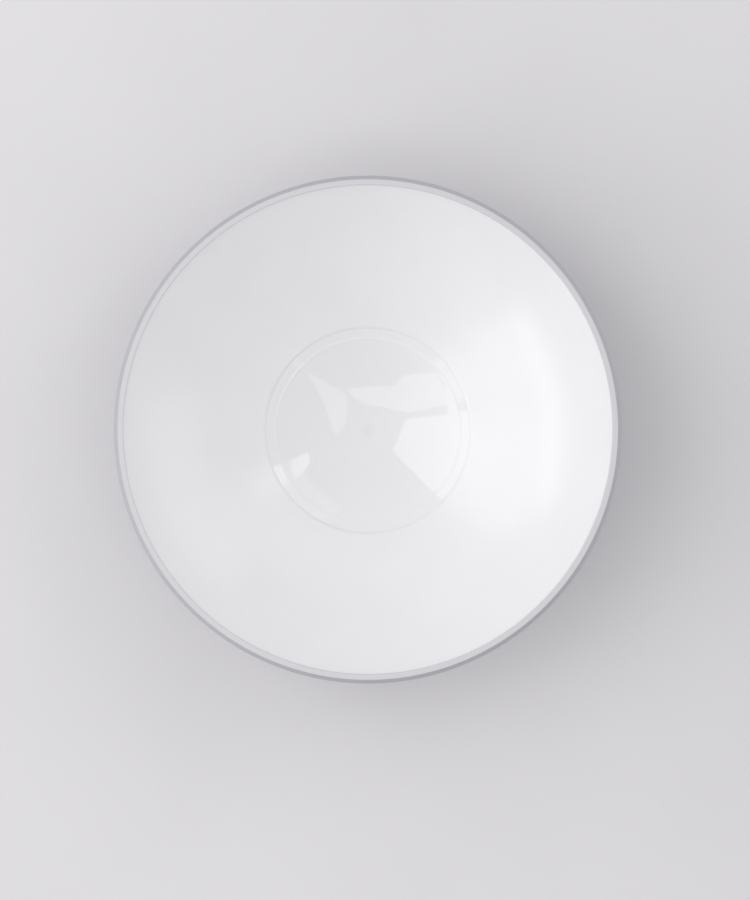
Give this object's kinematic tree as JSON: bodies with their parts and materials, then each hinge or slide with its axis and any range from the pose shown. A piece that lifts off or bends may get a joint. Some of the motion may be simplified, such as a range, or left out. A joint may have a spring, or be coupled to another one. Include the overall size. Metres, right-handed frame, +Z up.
{
  "type": "chip and dip bowl",
  "caption": "Round two-layer serving bowl for chips on a low foot, with a shallow dip dish that drops into a well in the middle.",
  "frame": {"origin": "centre of the foot, on the table that the bowl stands on", "axes": "+Z up, along the bowl's axis, out of its mouth; X and Y are any two directions across the bowl"},
  "size_m": [0.254, 0.254, 0.075],
  "materials": {
    "white_liner": "glossy white moulded plastic",
    "grey_outer": "satin cool light grey moulded plastic",
    "white_dish": "glossy white moulded plastic",
    "soft_ring": "matt grey silicone"
  },
  "bodies": {
    "bowl": {"inner_bowl": "white_liner", "outer_shell": "grey_outer", "non_slip_ring": "soft_ring"},
    "dip_dish": {"dip_dish": "white_dish"}
  },
  "joints": [
    {"name": "dip_dish_lift", "type": "slide", "parent": "bowl", "child": "dip_dish", "axis": [0, 0, 1], "range_m": [0, 0.1]}
  ]
}
